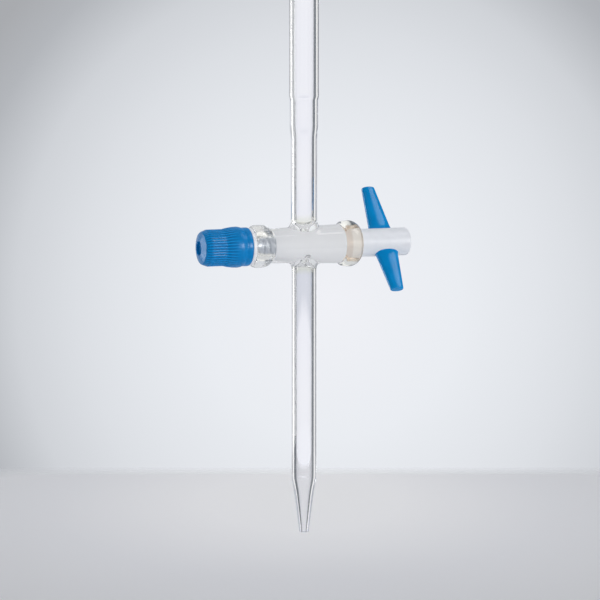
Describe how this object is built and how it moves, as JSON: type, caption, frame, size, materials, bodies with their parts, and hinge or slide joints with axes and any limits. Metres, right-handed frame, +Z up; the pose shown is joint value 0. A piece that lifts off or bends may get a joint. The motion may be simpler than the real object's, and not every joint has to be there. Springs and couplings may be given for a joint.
{
  "type": "glass stopcock",
  "caption": "Upright glass stopcock with a tapered cross barrel, a white key with a blue T handle, a blue ribbed cap nut and a drawn jet.",
  "frame": {"origin": "centre of the inlet tube's open top end", "axes": "+Z up along the glass tubes, the key's axis along X with the cap nut at -X and the T handle at +X"},
  "size_m": [0.0708, 0.0259, 0.1768],
  "materials": {
    "borosilicate_glass": "clear, fire-polished",
    "ptfe": "turned, waxy satin",
    "ptfe_washer": "turned, waxy satin",
    "blue_handle": "moulded, glossy",
    "blue_nut": "moulded, glossy",
    "ring_rubber": "moulded, satin"
  },
  "bodies": {
    "glass": {"glass_body": "borosilicate_glass"},
    "key": {"plug": "ptfe", "handle": "blue_handle", "washer": "ptfe_washer"},
    "seal": {"o_ring": "ring_rubber"},
    "nut": {"cap_nut": "blue_nut"}
  },
  "joints": [
    {"name": "key_turn", "type": "hinge", "parent": "glass", "child": "key", "pos_m": [0, 0, -0.084], "axis": [1, 0, 0], "continuous": true},
    {"name": "nut_travel", "type": "slide", "parent": "key", "child": "seal", "axis": [-1, 0, 0], "range_m": [0, 0.0105]},
    {"name": "nut_turn", "type": "hinge", "parent": "seal", "child": "nut", "pos_m": [0, 0, -0.084], "axis": [-1, 0, 0], "range_deg": [0, 2520]}
  ],
  "couplings": [
    {"joint": "nut_turn", "follows": "nut_travel", "rad_per_m": 4188.8}
  ]
}
